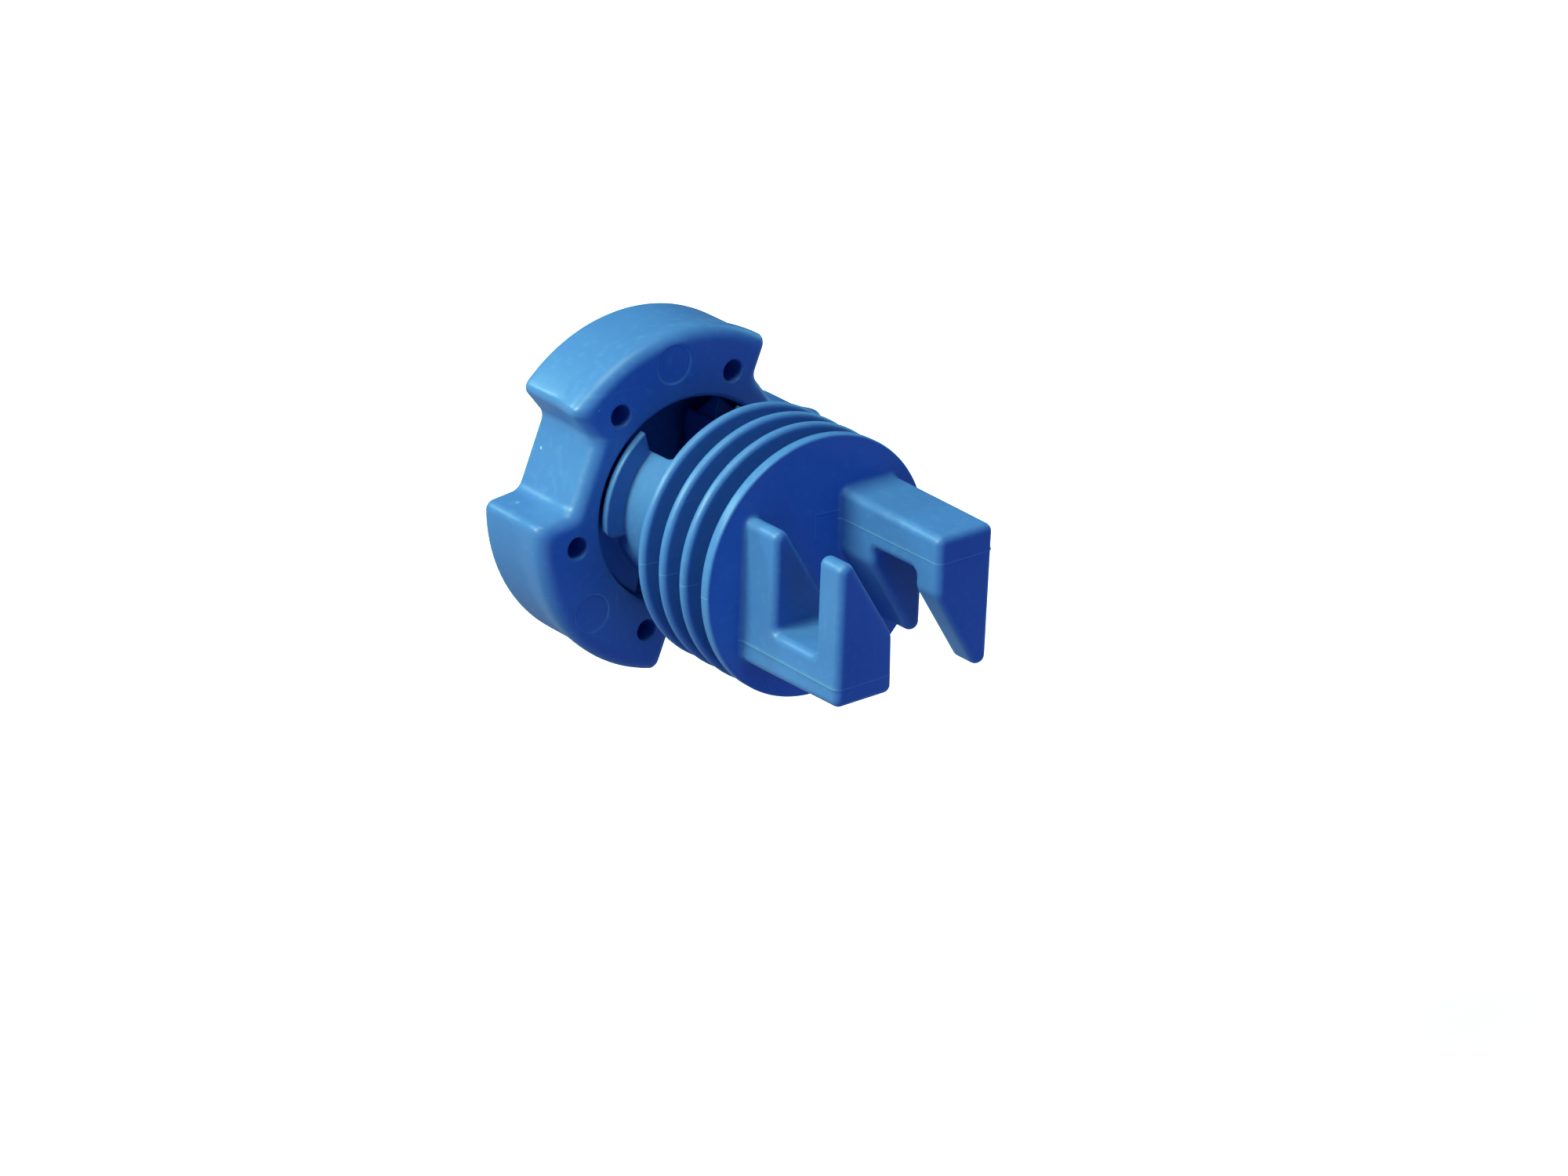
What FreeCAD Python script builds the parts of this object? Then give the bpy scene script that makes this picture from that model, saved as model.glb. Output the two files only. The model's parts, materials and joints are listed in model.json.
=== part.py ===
import FreeCAD, Part
import math
import os

from FreeCAD import Vector

# A clamp-on fence post insulator, moulded in hard plastic.
# Its slot runs along Z, and the middle of what it clamps is at the origin.
# The insulator's own axis is Y: the two hooks point to -Y and the clamp knob
# is screwed on from +Y. Lengths are in millimetres and angles in degrees.

# Slot across the stem, and the round bars that it can clamp
clamped_radius = 5.0
thinnest_clamped_radius = 4.0
slot_width = 13.0
seat_arc_half_angle = 54.0
slot_wall_blend = 2.0

# Stem and its two threaded prongs
stem_radius = 11.3
prong_end_clearance = 0.3
prong_tip_bevel = 1.0

# Stepped buttress thread on the prongs
thread_height = 3.0
thread_land = 1.0
thread_pitch = 5.0
thread_start = 4.1
thread_slot_setback = 0.6
thread_slot_taper = 15.0
thread_overrun = 1.75
thread_end_bevel = 1.2
thread_sink = 2.0
thread_cut_overlap = 1.0

# Round fins that lengthen the leakage path
fin_count = 3
fin_radius = 17.8
fin_pitch = 4.45
fin_rim_thickness = 1.4
fin_rim_bevel = 0.4
fin_root_thickness = 2.4
first_fin_distance = 8.2

# Front disc that carries the hooks
disc_thickness = 1.6
disc_edge_bevel = 0.3
fin_to_disc = 4.1

# Two hooks: each has an arm with an inner and an outer finger
hook_half_gap = 3.5
hook_width = 9.1
arm_channel_height = 3.75
arm_outer_height = 10.0
arm_draft = 0.5
inner_finger_length = 6.5
channel_width = 8.3
outer_finger_thickness = 4.9
finger_slope_start = -1.5
finger_slope_angle = 30.8
finger_taper_angle = 1.8
finger_tip_round = 1.2
finger_slope_round = 2.5
channel_root_round = 0.8
hook_edge_round = 1.1

# Clamp knob: a closed nut with three lobes
knob_bore_clearance = 0.3
knob_bore_depth = 12.3
knob_cap_thickness = 1.7
knob_mouth_chamfer = 0.3
knob_lobes = 3
knob_lobe_angle = 97.1
knob_radius = 24.2
knob_waist_inset = 0.4
knob_waist_depth = 6.5
knob_back_inset = 0.35
knob_front_round = 2.0
knob_back_round = 1.2
notch_floor_radius = 18.2
notch_floor_half_width = 5.1
notch_wall_angle = 30.0
notch_floor_round = 2.0
lobe_corner_round = 1.1
knob_front_steps = 3
knob_back_steps = 2

# Core holes and ejector marks in the knob's face
core_hole_radius = 1.5
core_hole_circle = 18.4
core_hole_spread = 30.0
core_hole_depth = 9.0
ejector_mark_radius = 2.7
ejector_mark_circle = 20.15
ejector_mark_depth = 0.15

# Places along the Y axis that follow from the sizes above
last_fin_y = -first_fin_distance - (fin_count - 1) * fin_pitch
disc_back_y = last_fin_y - fin_to_disc
disc_front_y = disc_back_y - disc_thickness
channel_back_y = disc_front_y - inner_finger_length
channel_front_y = channel_back_y - channel_width
hook_front_y = channel_front_y - outer_finger_thickness
knob_face_y = clamped_radius
knob_floor_y = knob_face_y + knob_bore_depth
knob_back_y = knob_floor_y + knob_cap_thickness
knob_travel_in = 2 * (clamped_radius - thinnest_clamped_radius)
prong_end_y = knob_floor_y - knob_travel_in - prong_end_clearance

# Radii that follow from the thread
thread_crest_radius = stem_radius + thread_height
knob_bore_radius = thread_crest_radius + knob_bore_clearance

axis_y = Vector(0, 1, 0)
origin = Vector(0, 0, 0)


def corner_arc(before, corner, after, radius):
    """Return the ends and middle of the arc that rounds a corner of a path."""
    to_before = (before - corner).normalize()
    to_after = (after - corner).normalize()
    half_angle = to_before.getAngle(to_after) / 2
    setback = radius / math.tan(half_angle)
    start = corner + to_before * setback
    end = corner + to_after * setback
    bisector = (to_before + to_after).normalize()
    centre = corner + bisector * (radius / math.sin(half_angle))
    middle = centre - bisector * radius
    return start, middle, end


def rounded_polygon(corners):
    """Closed wire through (point, radius) corners, each rounded by its own radius."""
    count = len(corners)
    arcs = []
    for index in range(count):
        point, radius = corners[index]
        before = corners[index - 1][0]
        after = corners[(index + 1) % count][0]
        if radius > 0:
            arcs.append(corner_arc(before, point, after, radius))
        else:
            arcs.append((point, None, point))
    edges = []
    for index in range(count):
        start, middle, end = arcs[index]
        if middle is not None:
            edges.append(Part.Arc(start, middle, end).toShape())
        next_start = arcs[(index + 1) % count][0]
        edges.append(Part.LineSegment(end, next_start).toShape())
    return Part.Wire(edges)


def polar_xz(radius, angle, y):
    """Point at a radius and angle about the Y axis, counted from +X towards +Z."""
    turn = math.radians(angle)
    return Vector(radius * math.cos(turn), y, radius * math.sin(turn))


def cylinder_y(radius, start_y, end_y):
    """Round bar on the Y axis."""
    return Part.makeCylinder(radius, end_y - start_y, Vector(0, start_y, 0), axis_y)


def fin_profile(centre_y):
    """Half outline of one fin: tapered sides and a bevelled rim."""
    half_root = fin_root_thickness / 2
    half_rim = fin_rim_thickness / 2
    shoulder_radius = fin_radius - fin_rim_bevel
    half_flat = half_rim - fin_rim_bevel
    return [
        Vector(stem_radius, centre_y - half_root, 0),
        Vector(shoulder_radius, centre_y - half_rim, 0),
        Vector(fin_radius, centre_y - half_flat, 0),
        Vector(fin_radius, centre_y + half_flat, 0),
        Vector(shoulder_radius, centre_y + half_rim, 0),
        Vector(stem_radius, centre_y + half_root, 0),
    ]


def stem_and_fins():
    """One turned form: hooks' disc, three fins and the plain stem."""
    corners = [
        Vector(0, disc_front_y, 0),
        Vector(fin_radius - disc_edge_bevel, disc_front_y, 0),
        Vector(fin_radius, disc_front_y + disc_edge_bevel, 0),
        Vector(fin_radius, disc_back_y - disc_edge_bevel, 0),
        Vector(fin_radius - disc_edge_bevel, disc_back_y, 0),
        Vector(stem_radius, disc_back_y, 0),
    ]
    for number in reversed(range(fin_count)):
        corners.extend(fin_profile(-first_fin_distance - number * fin_pitch))
    corners.append(Vector(stem_radius, prong_end_y - prong_tip_bevel, 0))
    corners.append(Vector(stem_radius - prong_tip_bevel, prong_end_y, 0))
    corners.append(Vector(0, prong_end_y, 0))
    corners.append(corners[0])
    return Part.Face(Part.makePolygon(corners)).revolve(origin, axis_y, 360)


def stem_slot():
    """Cutter for the slot: parallel walls that close to a V with a round nose."""
    spread = math.radians(seat_arc_half_angle)
    nose_x = clamped_radius * math.sin(spread)
    nose_y = -clamped_radius * math.cos(spread)
    half_slot = slot_width / 2
    shoulder_y = nose_y + (half_slot - nose_x) * math.tan(spread)
    open_y = prong_end_y + stem_radius
    reach = stem_radius + fin_radius
    wall = [
        Vector(half_slot, open_y, 0),
        Vector(half_slot, shoulder_y, 0),
        Vector(nose_x, nose_y, 0),
    ]
    blend_start, blend_middle, blend_end = corner_arc(wall[0], wall[1], wall[2], slot_wall_blend)
    right = [
        Part.LineSegment(wall[0], blend_start).toShape(),
        Part.Arc(blend_start, blend_middle, blend_end).toShape(),
        Part.LineSegment(blend_end, wall[2]).toShape(),
    ]
    left = [edge.mirror(origin, Vector(1, 0, 0)) for edge in right]
    nose = Part.Arc(wall[2], Vector(0, -clamped_radius, 0), Vector(-nose_x, nose_y, 0)).toShape()
    mouth = Part.LineSegment(Vector(-half_slot, open_y, 0), wall[0]).toShape()
    outline = Part.Wire(Part.__sortEdges__(right + left + [nose, mouth]))
    outline.translate(Vector(0, 0, -reach))
    return Part.Face(outline).extrude(Vector(0, 0, 2 * reach))


def thread_ridge(start_y, side, half):
    """One stepped ridge on one prong: side is -1 or 1 along X, half is -1 or 1 along Z."""
    inner = stem_radius - thread_sink
    foot_y = start_y + thread_land + thread_height
    section = Part.makePolygon([
        Vector(inner, start_y, 0),
        Vector(thread_crest_radius, start_y, 0),
        Vector(thread_crest_radius, start_y + thread_land, 0),
        Vector(stem_radius, foot_y, 0),
        Vector(inner, foot_y, 0),
        Vector(inner, start_y, 0),
    ])
    overrun = math.degrees(math.asin(thread_overrun / thread_crest_radius))
    ridge = Part.Face(section).revolve(origin, axis_y, -90)
    tail = Part.Face(section).revolve(origin, axis_y, overrun)
    end_edges = [edge for edge in tail.Edges if ends_ridge(edge, overrun)]
    ridge = ridge.fuse(tail.makeChamfer(thread_end_bevel, end_edges))
    ridge = ridge.common(beside_slot(start_y, foot_y))
    if side < 0:
        ridge = ridge.mirror(origin, Vector(1, 0, 0))
    if half < 0:
        ridge = ridge.mirror(origin, Vector(0, 0, 1))
    return ridge


def ends_ridge(edge, overrun):
    """True for the edges round the free end of a ridge, where it stands out of the stem."""
    for vertex in edge.Vertexes:
        turn = math.degrees(math.atan2(-vertex.Z, vertex.X))
        if abs(turn - overrun) > 0.01 or math.hypot(vertex.X, vertex.Z) < stem_radius - 0.001:
            return False
    return True


def beside_slot(start_y, foot_y):
    """Block beside the slot whose inner side leans away from it as it rises."""
    near_x = slot_width / 2 + thread_slot_setback
    top_z = 2 * thread_crest_radius
    base_z = math.sqrt(stem_radius ** 2 - near_x ** 2)
    lean = (top_z - base_z) * math.tan(math.radians(thread_slot_taper))
    far_x = near_x + lean + top_z
    low_y = start_y - thread_cut_overlap
    high_y = foot_y + thread_cut_overlap
    corners = [
        Vector(near_x, low_y, -top_z),
        Vector(near_x, low_y, base_z),
        Vector(near_x + lean, low_y, top_z),
        Vector(far_x, low_y, top_z),
        Vector(far_x, low_y, -top_z),
        Vector(near_x, low_y, -top_z),
    ]
    return Part.Face(Part.makePolygon(corners)).extrude(Vector(0, high_y - low_y, 0))


def thread_ridges():
    """Ridges a pitch apart, with the lower half of each turn half a pitch behind."""
    ridges = []
    for half in (1, -1):
        start_y = thread_start if half > 0 else thread_start + thread_pitch / 2
        while start_y + thread_land + thread_height < prong_end_y:
            for side in (-1, 1):
                ridges.append(thread_ridge(start_y, side, half))
            start_y = start_y + thread_pitch
    return ridges


def finger_outline():
    """Front view of one hook: upright outer side, sloping inner side and a round tip."""
    inner_x = hook_half_gap
    outer_x = hook_half_gap + hook_width
    slope = math.tan(math.radians(finger_slope_angle))
    taper = math.tan(math.radians(finger_taper_angle))
    climb = arm_outer_height + finger_slope_start
    rise = (outer_x - inner_x - climb * taper) / (slope + taper)
    apex = Vector(inner_x + rise * slope, hook_front_y, finger_slope_start + rise)
    return rounded_polygon([
        (Vector(inner_x, hook_front_y, -arm_outer_height), 0),
        (Vector(outer_x, hook_front_y, -arm_outer_height), 0),
        (apex, finger_tip_round),
        (Vector(inner_x, hook_front_y, finger_slope_start), finger_slope_round),
    ])


def hook_side_view():
    """Side view of one hook: an arm below, two fingers up, a channel between them."""
    root_y = disc_front_y + disc_thickness / 2
    top = 3 * arm_outer_height
    x = hook_half_gap - hook_width
    return rounded_polygon([
        (Vector(x, root_y, -arm_outer_height), 0),
        (Vector(x, root_y, top), 0),
        (Vector(x, channel_back_y, top), 0),
        (Vector(x, channel_back_y, -arm_channel_height), channel_root_round),
        (Vector(x, channel_front_y, -arm_channel_height), channel_root_round),
        (Vector(x, channel_front_y, top), 0),
        (Vector(x, hook_front_y, top), 0),
        (Vector(x, hook_front_y, -arm_outer_height + arm_draft), 0),
    ])


def round_edges(shape, radius, chosen):
    """Round the chosen edges of a solid."""
    edges = [edge for edge in shape.Edges if chosen(edge)]
    return shape.makeFillet(radius, edges)


def hook_outer_edge(edge):
    """True for the long outer edges of a hook, away from the disc and the channel's root."""
    middle = edge.valueAt((edge.FirstParameter + edge.LastParameter) / 2)
    at_root = middle.y > disc_front_y
    in_channel = channel_front_y + 0.01 < middle.y < channel_back_y - 0.01
    on_channel_floor = in_channel and middle.z > -arm_channel_height - 0.01
    return not at_root and not on_channel_floor


def hook():
    """One hook: its front view and its side view cut from each other, then rounded."""
    length = disc_front_y + disc_thickness / 2 - hook_front_y
    front = Part.Face(finger_outline()).extrude(Vector(0, length, 0))
    side = Part.Face(hook_side_view()).extrude(Vector(3 * hook_width, 0, 0))
    return round_edges(front.common(side), hook_edge_round, hook_outer_edge)


def insulator_body():
    """Stem, fins, disc, hooks and prongs in one moulding."""
    body = stem_and_fins().cut(stem_slot())
    body = body.fuse(thread_ridges())
    lower = hook().mirror(origin, Vector(1, 0, 0))
    upper = lower.copy()
    upper.rotate(origin, axis_y, 180)
    return body.fuse([lower, upper]).removeSplitter()


def notch_wall(y, inset):
    """Floor corner and direction of a notch wall that is set back by an inset."""
    opening = math.radians(notch_wall_angle)
    spread = inset * (1 - math.sin(opening)) / math.cos(opening)
    floor = Vector(notch_floor_radius - inset, y, notch_floor_half_width + spread)
    wall = Vector(math.cos(opening), 0, math.sin(opening))
    return floor, wall


def lobe_corner(floor, wall, rim_radius):
    """Arc that joins a notch wall to the knob's rim without a corner."""
    inward = Vector(-wall.z, 0, wall.x)
    start = floor + inward * lobe_corner_round
    inner_radius = rim_radius - lobe_corner_round
    along = start.x * wall.x + start.z * wall.z
    square = start.x ** 2 + start.z ** 2
    centre = start + wall * (math.sqrt(along ** 2 - square + inner_radius ** 2) - along)
    on_wall = centre - inward * lobe_corner_round
    outward = Vector(centre.x, 0, centre.z).normalize()
    on_rim = centre + outward * lobe_corner_round
    between = ((on_wall + on_rim) * 0.5 - centre).normalize()
    return on_wall, centre + between * lobe_corner_round, on_rim


def knob_outline(y, inset):
    """Three-lobed outline at a height y, set back from the widest one by an inset."""
    rim_radius = knob_radius - inset
    floor, wall = notch_wall(y, inset)
    opposite_floor = Vector(floor.x, y, -floor.z)
    floor_arc = corner_arc(opposite_floor, floor, floor + wall, notch_floor_round)
    rim_arc = lobe_corner(floor, wall, rim_radius)
    half_notch = [
        Part.Arc(floor_arc[0], floor_arc[1], floor_arc[2]).toShape(),
        Part.LineSegment(floor_arc[2], rim_arc[0]).toShape(),
        Part.Arc(rim_arc[0], rim_arc[1], rim_arc[2]).toShape(),
    ]
    other_half = [edge.mirror(origin, Vector(0, 0, 1)) for edge in half_notch]
    mirrored_start = Vector(floor_arc[0].x, y, -floor_arc[0].z)
    bottom = Part.LineSegment(mirrored_start, floor_arc[0]).toShape()
    rim_angle = math.degrees(math.atan2(rim_arc[2].z, rim_arc[2].x))
    step = 360.0 / knob_lobes
    lobe = Part.Arc(
        rim_arc[2],
        polar_xz(rim_radius, step / 2, y),
        polar_xz(rim_radius, step - rim_angle, y),
    ).toShape()
    edges = []
    for number in range(knob_lobes):
        turn = knob_lobe_angle + step / 2 + number * step
        for edge in half_notch + other_half + [bottom, lobe]:
            copy = edge.copy()
            copy.rotate(origin, axis_y, -turn)
            edges.append(copy)
    return Part.Wire(Part.__sortEdges__(edges))


def round_steps(radius, steps):
    """Depth and inset of each step of a quarter round, from the face to the side."""
    turns = [math.radians(90.0 * number / steps) for number in range(steps + 1)]
    return [(radius * (1 - math.cos(turn)), radius * (1 - math.sin(turn))) for turn in turns]


def knob_blank():
    """Lobed blank: soft front edge, slight waist and round back edge, lofted in steps."""
    sections = []
    for depth, inset in round_steps(knob_front_round, knob_front_steps):
        sections.append(knob_outline(knob_face_y + depth, inset))
    sections.append(knob_outline(knob_face_y + knob_waist_depth, knob_waist_inset))
    for depth, inset in reversed(round_steps(knob_back_round, knob_back_steps)):
        sections.append(knob_outline(knob_back_y - depth, knob_back_inset + inset))
    return Part.makeLoft(sections, True, True)


def clamp_knob():
    """Closed nut: blank, bore, lead-in, core holes and ejector marks."""
    knob = knob_blank()
    bore = cylinder_y(knob_bore_radius, knob_face_y, knob_floor_y)
    lead_in = Part.makeCone(
        knob_bore_radius + knob_mouth_chamfer,
        knob_bore_radius,
        knob_mouth_chamfer,
        Vector(0, knob_face_y, 0),
        axis_y,
    )
    cutters = [bore, lead_in]
    step = 360.0 / knob_lobes
    for number in range(knob_lobes):
        lobe_angle = knob_lobe_angle + number * step
        place = polar_xz(ejector_mark_circle, lobe_angle, knob_face_y)
        cutters.append(Part.makeCylinder(ejector_mark_radius, ejector_mark_depth, place, axis_y))
        for spread in (-core_hole_spread, core_hole_spread):
            place = polar_xz(core_hole_circle, lobe_angle + spread, knob_face_y)
            cutters.append(Part.makeCylinder(core_hole_radius, core_hole_depth, place, axis_y))
    return knob.cut(cutters)


def main():
    os.makedirs("parts", exist_ok=True)
    pieces = {
        "insulator_body": insulator_body(),
        "clamp_knob": clamp_knob(),
    }
    for name, shape in pieces.items():
        print(name, "valid", shape.isValid(), "solids", len(shape.Solids), "volume", round(shape.Volume, 1))
        shape.exportStep("parts/" + name + ".step")


main()
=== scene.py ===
import bmesh
import bpy
import json
import math
from mathutils import Matrix, Vector


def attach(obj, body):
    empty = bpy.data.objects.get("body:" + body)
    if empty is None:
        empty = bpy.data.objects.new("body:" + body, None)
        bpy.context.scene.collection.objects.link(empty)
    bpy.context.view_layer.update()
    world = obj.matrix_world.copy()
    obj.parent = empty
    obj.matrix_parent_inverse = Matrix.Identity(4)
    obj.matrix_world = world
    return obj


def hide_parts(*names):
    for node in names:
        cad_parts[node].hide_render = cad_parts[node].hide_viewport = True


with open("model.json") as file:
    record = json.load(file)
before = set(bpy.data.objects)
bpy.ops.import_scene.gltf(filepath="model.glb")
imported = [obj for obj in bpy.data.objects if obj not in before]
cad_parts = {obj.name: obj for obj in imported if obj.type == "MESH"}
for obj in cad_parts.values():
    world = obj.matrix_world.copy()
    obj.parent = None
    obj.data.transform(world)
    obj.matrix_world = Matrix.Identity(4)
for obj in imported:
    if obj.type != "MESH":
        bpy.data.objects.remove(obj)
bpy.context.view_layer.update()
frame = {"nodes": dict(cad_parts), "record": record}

# A clamp-on fence post insulator in moulded blue plastic.
# Its slot runs along Z, its own axis is Y, and the hooks point to -Y.
# Shapes are worked out in millimetres, as in the part's source, and put into
# the scene in metres. Angles are in degrees.
MM = 0.001

# Stem, slot and prongs
CLAMPED_RADIUS = 5.0
SLOT_WIDTH = 13.0
SLOT_EDGE_ROUND = 0.55
SEAT_ARC_HALF_ANGLE = 54.0
SLOT_WALL_BLEND = 2.0
STEM_RADIUS = 11.3
PRONG_END_Y = 15.0
PRONG_TIP_BEVEL = 1.0
PRONG_TIP_ROUND = 0.6

# Thread on the prongs: where its ridges start on the upper and the lower half
THREAD_STARTS = {1: (4.1, 9.1), -1: (6.6,)}
THREAD_HEIGHT = 3.0
THREAD_LAND = 1.0
THREAD_PITCH = 5.0
THREAD_SLOT_SETBACK = 0.6
THREAD_SLOT_TAPER = 15.0
THREAD_OVERRUN = 1.75
THREAD_END_ROUND = 1.2
THREAD_EDGE_ROUND = 0.25
THREAD_SINK = 1.5

# Fins and disc
FIN_RADIUS = 17.8
FIN_COUNT = 3
FIN_PITCH = 4.45
FIRST_FIN_Y = -8.2
FIN_RIM_THICKNESS = 1.4
FIN_RIM_ROUND_SHARE = 0.97
FIN_ROOT_THICKNESS = 2.4
FIN_ROOT_ROUND = 0.5
FIN_ROOT_TUCK = 0.02
FIN_SINK = 1.0
DISC_BACK_Y = -21.2
DISC_FRONT_Y = -22.8
DISC_EDGE_ROUND = 0.3

# Hooks, for the fillet at their feet and their witness lines
HOOK_HALF_GAP = 3.5
HOOK_WIDTH = 9.1
HOOK_FRONT_Y = -42.5
ARM_OUTER_HEIGHT = 10.0
FINGER_SLOPE_START = -1.5
FINGER_SLOPE_ANGLE = 30.8
FINGER_TAPER_ANGLE = 1.8
FINGER_TIP_ROUND = 1.2
FINGER_SLOPE_ROUND = 2.5
HOOK_EDGE_ROUND = 1.1
HOOK_FOOT_ROUND = 0.6
HOOK_FOOT_START = 0.3

# Witness lines that the mould's parting leaves, on the arms by side, and a small scrape
LINE_HEIGHT = 0.045
LINE_HALF_WIDTH = 0.07
LINE_SETBACK = 0.01
LINE_BACK_CORNER = 1e-3
ARM_LINES = {-1: -6.9, 1: 6.0}
INSERT_CORNER_LINE = ((-0.7, 3.8), (-0.7, 7.4), (3.4, 7.15))
SCRAPE = ((-8.6, -13.3), (-7.8, -15.1), (-7.0, -15.4))
RIM_LINE_REACH = 2.2

# Knob
KNOB_FACE_Y = 5.0
KNOB_FLOOR_Y = 17.3
KNOB_BACK_Y = 19.0
KNOB_LOBES = 3
KNOB_LOBE_ANGLE = 97.1
KNOB_RADIUS = 24.2
KNOB_WAIST_INSET = 0.4
KNOB_WAIST_DEPTH = 6.5
KNOB_BACK_INSET = 0.35
KNOB_FRONT_ROUND = 2.0
KNOB_BACK_ROUND = 1.2
NOTCH_FLOOR_RADIUS = 18.2
NOTCH_FLOOR_HALF_WIDTH = 5.1
NOTCH_WALL_ANGLE = 30.0
NOTCH_FLOOR_ROUND = 2.0
LOBE_CORNER_ROUND = 1.1
LOBE_CORNER_GROWTH = 0.3

# Knob's bore, with the groove of its inside thread: the groove's shape is in shares
# of its pitch, and it runs in and out over a short way at each end
KNOB_BORE_RADIUS = 14.6
KNOB_MOUTH_ROUND = 0.4
GROOVE_DEPTH = 0.7
GROOVE_START = 1.6
GROOVE_LAND_SHARE = 0.22
GROOVE_SLOPE_END_SHARE = 0.8
GROOVE_FRONT_MARGIN = 0.6
GROOVE_FRONT_FADE = 1.2
GROOVE_BACK_MARGIN = 0.3
GROOVE_BACK_FADE = 0.8

# Moulding marks on the knob: core holes, ejector marks and the gate on its back
CORE_HOLE_RADIUS = 1.5
CORE_HOLE_CIRCLE = 18.4
CORE_HOLE_SPREAD = 30.0
CORE_HOLE_DEPTH = 9.0
CORE_HOLE_MOUTH = 0.25
CORE_HOLE_SOFT_SHARE = 0.3
CORE_HOLE_DRAFT_SHARE = 0.94
CORE_HOLE_TIP_SHARE = 0.6
CORE_HOLE_TIP_LENGTH = 0.4
EJECTOR_MARK_RADIUS = 2.7
EJECTOR_MARK_CIRCLE = 20.15
EJECTOR_MARK_DEPTH = 0.15
EJECTOR_MARK_EDGE = 0.12
GATE_RADIUS = 2.4
GATE_DEPTH = 0.35
GATE_NUB_RADIUS = 0.7
GATE_NUB_TOP_SHARE = 0.7
GATE_NUB_SHOULDER = 0.12
GATE_NUB_SETBACK = 0.05

# Steps of arcs, turned forms and lofts
ARC_STEPS = 6
NOSE_STEPS = 24
SLOT_EDGE_STEPS = 5
FOOT_STEPS = 7
TURN_SEGMENTS = 256
RIDGE_FRONT_STEPS = 8
RIDGE_STEPS = 40
LOBE_ARC_STEPS = 48
KNOB_SECTION_STEPS = 8
BORE_SEGMENTS = 160
BORE_ROWS = 96
ROUND_CUTTER_SEGMENTS = 48
FLOOR_SEGMENTS = 64

# Points closer than these are merged: in a new mesh, after a cut and in the CAD facets
WELD = 1e-5
CUT_WELD = 5e-5
CAD_WELD = 1e-4

# Shading: edges sharper than this stay sharp, and neighbouring faces that turn
# less than the flat angle are one flat face once they cover the flat area
SHARP_ANGLE = 38.0
FLAT_ANGLE = 0.2
FLAT_AREA = 1.5

# Blue plastic: the scales of its noises and cells are in features per metre
PALE_BLUE = (0.260, 0.580, 0.780, 1)
PLASTIC_TONE = {"Base": (0.075, 0.205, 0.530, 1), "Deep": (0.056, 0.164, 0.470, 1), "Pale": PALE_BLUE}
BODY_TONE = {"Cloud scale": 55.0, "Mottle scale": 900.0, "Gloss roughness": 0.38}
KNOB_TONE = {"Cloud scale": 42.0, "Mottle scale": 800.0, "Gloss roughness": 0.37}
BODY_SCUFFS = {"Scratch strength": 0.06, "Speck strength": 0.26, "Speck scale": 150.0}
KNOB_SCUFFS = {"Scratch strength": 0.07, "Speck strength": 0.30, "Speck scale": 150.0}
GRAIN = {"Grain scale": 4200.0, "Ripple scale": 260.0, "Ripple share": 1.6}
SPECULAR_LEVEL = 0.42
GRAIN_STRENGTH = 0.22
GRAIN_DEPTH = 0.02
EDGE_SOFTNESS = 0.60
# Strength of the painted sheen: pale colour laid along the sharp edges as a painted highlight
EDGE_SHEEN_STRENGTH = 0.10
SCUFF_DULLNESS = 0.25
WITNESS_STRENGTH = 0.35

# Pale marks, each with its half width and strength at the end: strokes on the knob
# by their two ends, the strokes on the disc, and painted highlights on the ejector marks' rims
KNOB_STROKES = (
    ((-16.10, 16.40, 7.80), (-16.02, 16.48, 7.88), 0.17, 1.0),
    ((-14.75, 5.0, 16.15), (-14.50, 5.0, 16.32), 0.09, 0.8),
    ((-7.20, 5.0, 17.60), (-6.40, 5.0, 16.90), 0.05, 0.3),
    ((-9.40, 5.0, 15.40), (-8.80, 5.0, 14.70), 0.05, 0.3),
)
DISC_STROKE = (LINE_HALF_WIDTH, 0.30)
# Painted highlight on the ejector marks' rims: half width and strength
EJECTOR_RIM_HIGHLIGHT = (EJECTOR_MARK_EDGE, 0.40)

# Camera, at the photograph's angle and framing
CAMERA_AZIMUTH = -37.98
CAMERA_ELEVATION = 23.40
CAMERA_ROLL = 0.53
CAMERA_DISTANCE = 0.5297
CAMERA_SHIFT_RIGHT = 0.0096
CAMERA_DROP = 0.01076
CAMERA_LENS_MM = 90.99
CAMERA_SENSOR_MM = 36.0

# Lamps that face the object: place and width in metres, power in watts, colour
LAMPS = {
    "key": ((-0.64, 0.10, 0.48), 0.30, 7.3, (0.84, 1.10, 0.70)),
    "top": ((-0.18, -0.06, 0.80), 0.45, 3.5, (0.84, 1.14, 0.76)),
    "rim": ((-0.50, 0.70, 0.50), 0.16, 3.0, (0.55, 1.06, 0.90)),
    "fill": ((-0.10, -0.90, 0.10), 0.5, 2.0, (0.03, 0.20, 0.88)),
    "right_fill": ((0.85, 0.20, 0.25), 0.6, 2.4, (0.25, 0.82, 0.88)),
}
WHITE = (1, 1, 1, 1)
SURROUND_BLUE = (0.08, 0.18, 0.90, 1)
SURROUND_STRENGTH = 0.20

# Floor in metres: white to the camera and dim to the object, with a glow that grows
# outwards
FLOOR_DROP = 0.11
FLOOR_RADIUS = 3.0
FLOOR_ROUGHNESS = 0.9
FLOOR_DIM = (0.06, 0.09, 0.26, 1)
FLOOR_PALE = (0.92, 0.92, 0.92, 1)
FLOOR_REFLECTED_SHARE = 0.18
GLOW_START = 0.12
GLOW_END = 0.40
GLOW_NEAR = 0.40


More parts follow.
